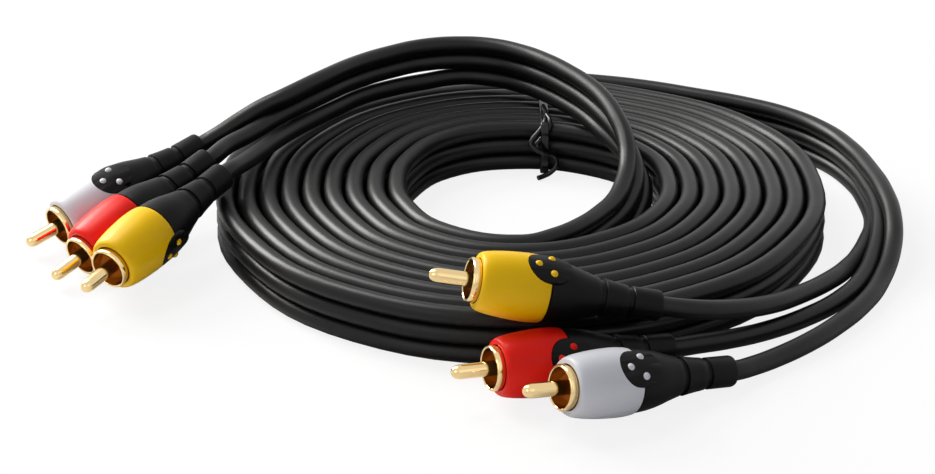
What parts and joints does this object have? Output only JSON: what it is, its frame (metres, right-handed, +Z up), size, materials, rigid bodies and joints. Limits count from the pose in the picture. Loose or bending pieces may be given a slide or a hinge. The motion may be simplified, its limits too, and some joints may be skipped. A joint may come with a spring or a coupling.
{
  "type": "phono audio cable",
  "caption": "Coiled black lead of cords joined side by side, each ending in a phono plug with a white, red or yellow grip, gold contacts and a tapered black boot.",
  "frame": {"origin": "on the floor, under the middle of the box round the whole lead as it lies", "axes": "+Z up, +X to the right as seen from the plugs' side, +Y to the back, where the cord arches over the coil"},
  "size_m": [0.2024, 0.1807, 0.029],
  "materials": {
    "cord": "smooth black vinyl jacket with a satin sheen",
    "tie": "black plastic-covered wire tie",
    "boot": "soft matte black moulding",
    "grip_white": "satin white moulding, slightly bluish",
    "grip_red": "satin red moulding",
    "grip_yellow": "satin yellow moulding",
    "gold": "polished pale gold plating",
    "copper": "bare twisted wire",
    "insulator": "amber brown insulating plastic"
  },
  "bodies": {
    "root": {"coil": "cord", "twist_tie": "tie", "left_white_centre_pin": "gold", "left_white_insulator": "insulator", "left_white_outer_contact": "gold", "left_white_grip": "grip_white", "left_white_boot": "boot", "left_white_inner_mould": "boot", "left_white_conductor": "copper", "strand_left_white": "cord", "left_red_centre_pin": "gold", "left_red_insulator": "insulator", "left_red_outer_contact": "gold", "left_red_grip": "grip_red", "left_red_boot": "boot", "left_red_inner_mould": "boot", "left_red_conductor": "copper", "strand_left_red": "cord", "left_yellow_centre_pin": "gold", "left_yellow_insulator": "insulator", "left_yellow_outer_contact": "gold", "left_yellow_grip": "grip_yellow", "left_yellow_boot": "boot", "left_yellow_inner_mould": "boot", "left_yellow_conductor": "copper", "strand_left_yellow": "cord", "right_white_centre_pin": "gold", "right_white_insulator": "insulator", "right_white_outer_contact": "gold", "right_white_grip": "grip_white", "right_white_boot": "boot", "right_white_inner_mould": "boot", "right_white_conductor": "copper", "strand_right_white": "cord", "right_red_centre_pin": "gold", "right_red_insulator": "insulator", "right_red_outer_contact": "gold", "right_red_grip": "grip_red", "right_red_boot": "boot", "right_red_inner_mould": "boot", "right_red_conductor": "copper", "strand_right_red": "cord", "right_yellow_centre_pin": "gold", "right_yellow_insulator": "insulator", "right_yellow_outer_contact": "gold", "right_yellow_grip": "grip_yellow", "right_yellow_boot": "boot", "right_yellow_inner_mould": "boot", "right_yellow_conductor": "copper", "strand_right_yellow": "cord"}
  },
  "joints": []
}
